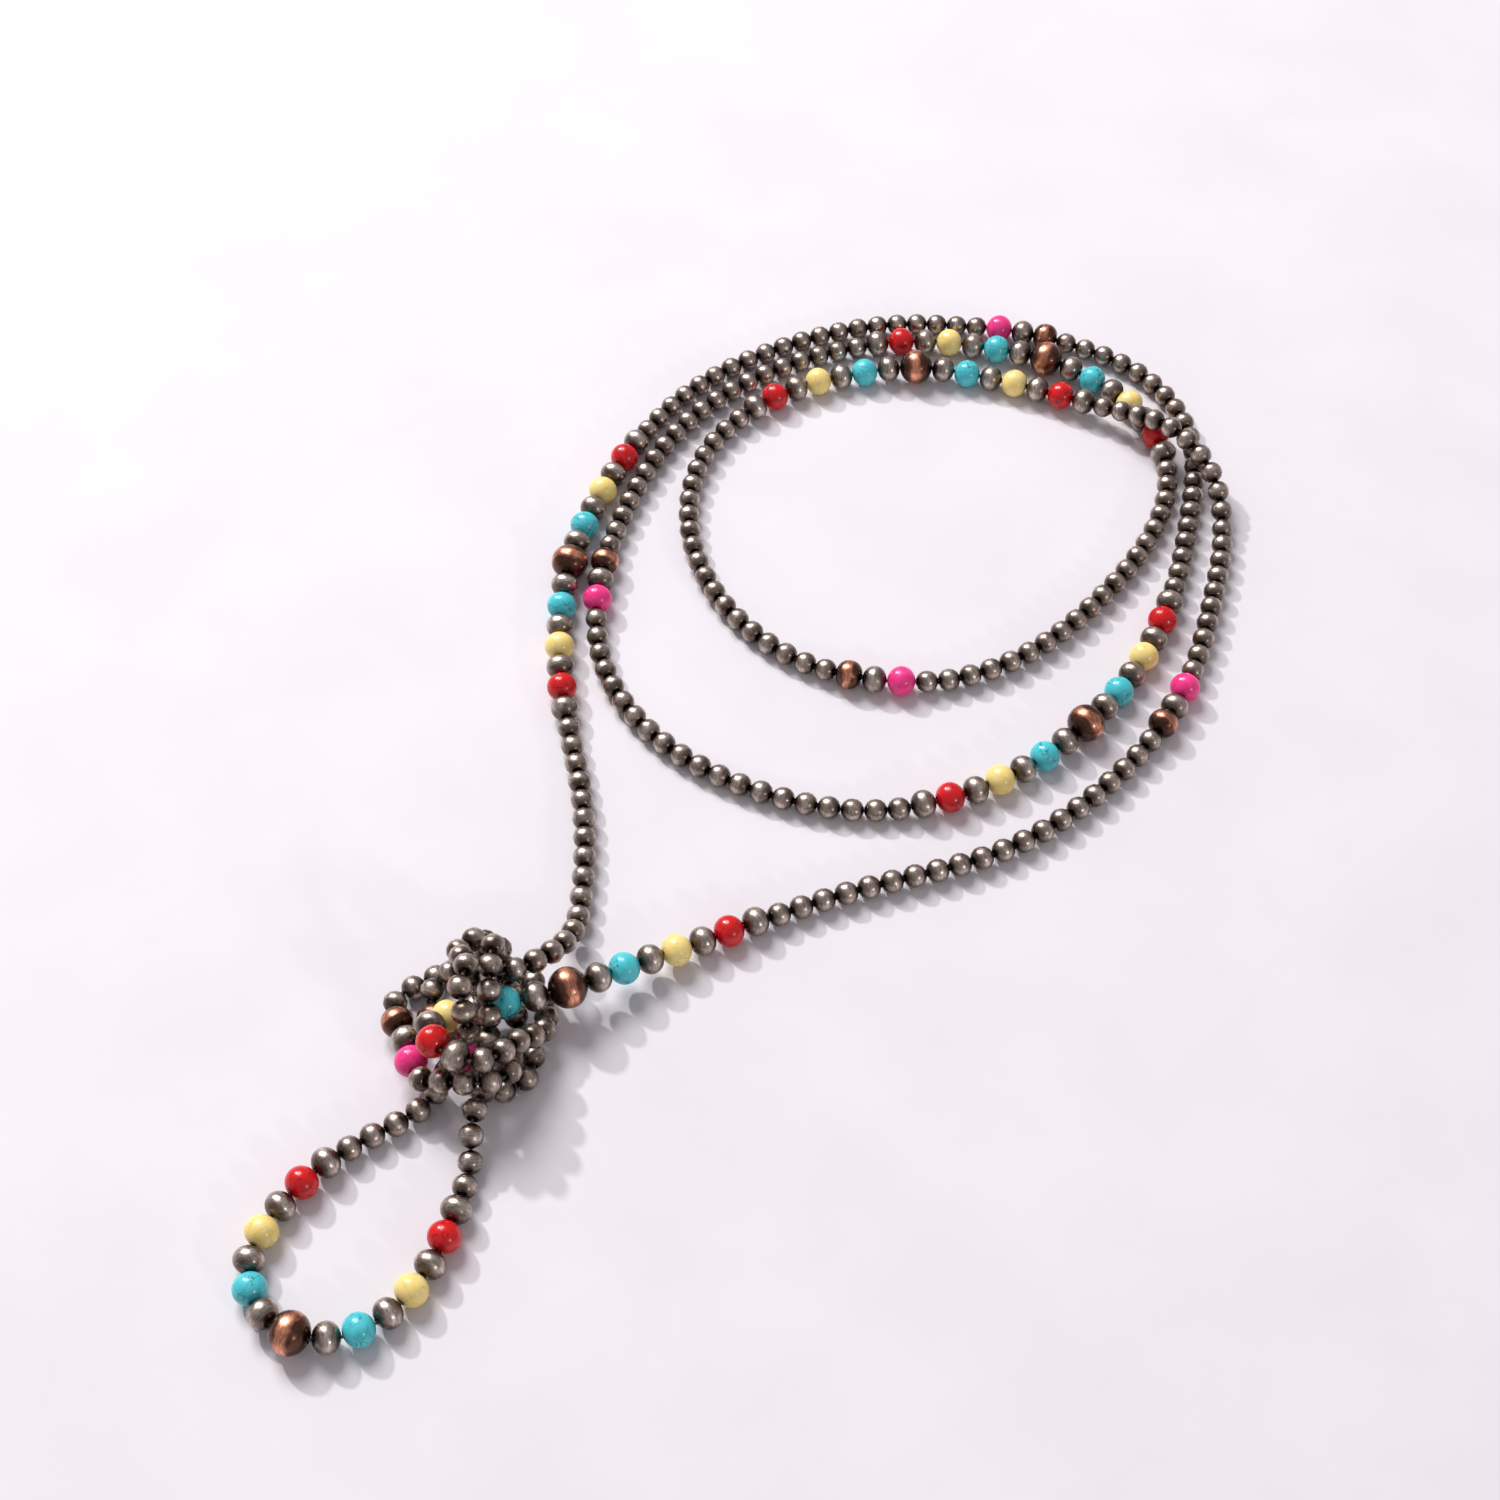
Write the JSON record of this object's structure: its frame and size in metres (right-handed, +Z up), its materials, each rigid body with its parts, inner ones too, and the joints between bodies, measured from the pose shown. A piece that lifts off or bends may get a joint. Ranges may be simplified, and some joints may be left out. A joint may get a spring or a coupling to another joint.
{
  "type": "beaded necklace",
  "caption": "Long endless bead necklace of silver-toned beads with groups of coloured stone beads, lying in coils with its end in a loose knot.",
  "frame": {"origin": "on the floor, under the middle of the necklace's bounding box", "axes": "+Z up from the surface that the necklace lies on, +X to the right and +Y away from the camera in the picture"},
  "size_m": [0.2473, 0.3291, 0.0277],
  "materials": {
    "antique_silver": "brushed and antiqued silver-toned plating, dark in the bores",
    "red_stone": "polished dyed howlite with dark veins",
    "yellow_stone": "polished dyed howlite with pale veins",
    "turquoise_stone": "polished dyed howlite with dark veins",
    "pink_stone": "polished dyed stone, almost plain"
  },
  "bodies": {
    "root": {"bead_string_turns": "antique_silver", "bead_string_knot": "antique_silver", "red_stone_1": "red_stone", "red_stone_2": "red_stone", "red_stone_3": "red_stone", "red_stone_4": "red_stone", "red_stone_5": "red_stone", "red_stone_6": "red_stone", "red_stone_7": "red_stone", "red_stone_8": "red_stone", "red_stone_9": "red_stone", "red_stone_10": "red_stone", "red_stone_11": "red_stone", "red_stone_12": "red_stone", "yellow_stone_1": "yellow_stone", "yellow_stone_2": "yellow_stone", "yellow_stone_3": "yellow_stone", "yellow_stone_4": "yellow_stone", "yellow_stone_5": "yellow_stone", "yellow_stone_6": "yellow_stone", "yellow_stone_7": "yellow_stone", "yellow_stone_8": "yellow_stone", "yellow_stone_9": "yellow_stone", "yellow_stone_10": "yellow_stone", "yellow_stone_11": "yellow_stone", "yellow_stone_12": "yellow_stone", "turquoise_stone_1": "turquoise_stone", "turquoise_stone_2": "turquoise_stone", "turquoise_stone_3": "turquoise_stone", "turquoise_stone_4": "turquoise_stone", "turquoise_stone_5": "turquoise_stone", "turquoise_stone_6": "turquoise_stone", "turquoise_stone_7": "turquoise_stone", "turquoise_stone_8": "turquoise_stone", "turquoise_stone_9": "turquoise_stone", "turquoise_stone_10": "turquoise_stone", "turquoise_stone_11": "turquoise_stone", "turquoise_stone_12": "turquoise_stone", "pink_stone_1": "pink_stone", "pink_stone_2": "pink_stone", "pink_stone_3": "pink_stone", "pink_stone_4": "pink_stone", "pink_stone_5": "pink_stone", "pink_stone_6": "pink_stone"}
  },
  "joints": []
}
